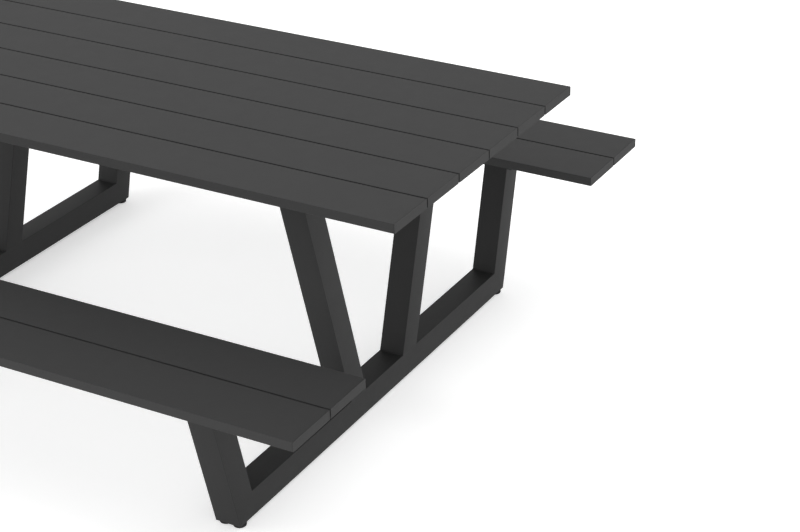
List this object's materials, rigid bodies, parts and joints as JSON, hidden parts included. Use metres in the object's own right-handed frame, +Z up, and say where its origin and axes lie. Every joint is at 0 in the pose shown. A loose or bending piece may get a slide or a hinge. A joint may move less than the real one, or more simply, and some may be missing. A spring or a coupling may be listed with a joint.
{
  "type": "picnic table",
  "caption": "Free-standing picnic table: a slatted top and two slatted benches on welded square-tube trestles with mitred bench legs, dark matte powder coat, round glide pads.",
  "frame": {"origin": "on the ground, under the middle of the table", "axes": "+X along the planks, +Y across the table from the near bench to the far bench, +Z up"},
  "size_m": [2, 1.779, 0.768],
  "materials": {
    "plank_paint": "aluminium extrusion with a fine matte anthracite powder coat",
    "frame_paint": "welded steel tube and flat bar with a fine matte anthracite powder coat",
    "cap_plastic": "moulded cap, matte, coloured to match the planks",
    "foot_plastic": "moulded glide pad, matte black"
  },
  "bodies": {
    "root": {"table_plank_1": "plank_paint", "table_cap_left_1": "cap_plastic", "table_cap_right_1": "cap_plastic", "table_plank_2": "plank_paint", "table_cap_left_2": "cap_plastic", "table_cap_right_2": "cap_plastic", "table_plank_3": "plank_paint", "table_cap_left_3": "cap_plastic", "table_cap_right_3": "cap_plastic", "table_plank_4": "plank_paint", "table_cap_left_4": "cap_plastic", "table_cap_right_4": "cap_plastic", "table_plank_5": "plank_paint", "table_cap_left_5": "cap_plastic", "table_cap_right_5": "cap_plastic", "table_plank_6": "plank_paint", "table_cap_left_6": "cap_plastic", "table_cap_right_6": "cap_plastic", "near_bench_plank_1": "plank_paint", "near_bench_cap_left_1": "cap_plastic", "near_bench_cap_right_1": "cap_plastic", "near_bench_plank_2": "plank_paint", "near_bench_cap_left_2": "cap_plastic", "near_bench_cap_right_2": "cap_plastic", "far_bench_plank_1": "plank_paint", "far_bench_cap_left_1": "cap_plastic", "far_bench_cap_right_1": "cap_plastic", "far_bench_plank_2": "plank_paint", "far_bench_cap_left_2": "cap_plastic", "far_bench_cap_right_2": "cap_plastic", "left_bottom_beam": "frame_paint", "left_near_bench_leg": "frame_paint", "left_near_table_leg": "frame_paint", "left_near_bench_bar": "frame_paint", "left_near_pad_1": "foot_plastic", "left_near_pad_2": "foot_plastic", "left_far_bench_leg": "frame_paint", "left_far_table_leg": "frame_paint", "left_far_bench_bar": "frame_paint", "left_far_pad_1": "foot_plastic", "left_far_pad_2": "foot_plastic", "left_table_bar": "frame_paint", "right_bottom_beam": "frame_paint", "right_near_bench_leg": "frame_paint", "right_near_table_leg": "frame_paint", "right_near_bench_bar": "frame_paint", "right_near_pad_1": "foot_plastic", "right_near_pad_2": "foot_plastic", "right_far_bench_leg": "frame_paint", "right_far_table_leg": "frame_paint", "right_far_bench_bar": "frame_paint", "right_far_pad_1": "foot_plastic", "right_far_pad_2": "foot_plastic", "right_table_bar": "frame_paint"}
  },
  "joints": []
}
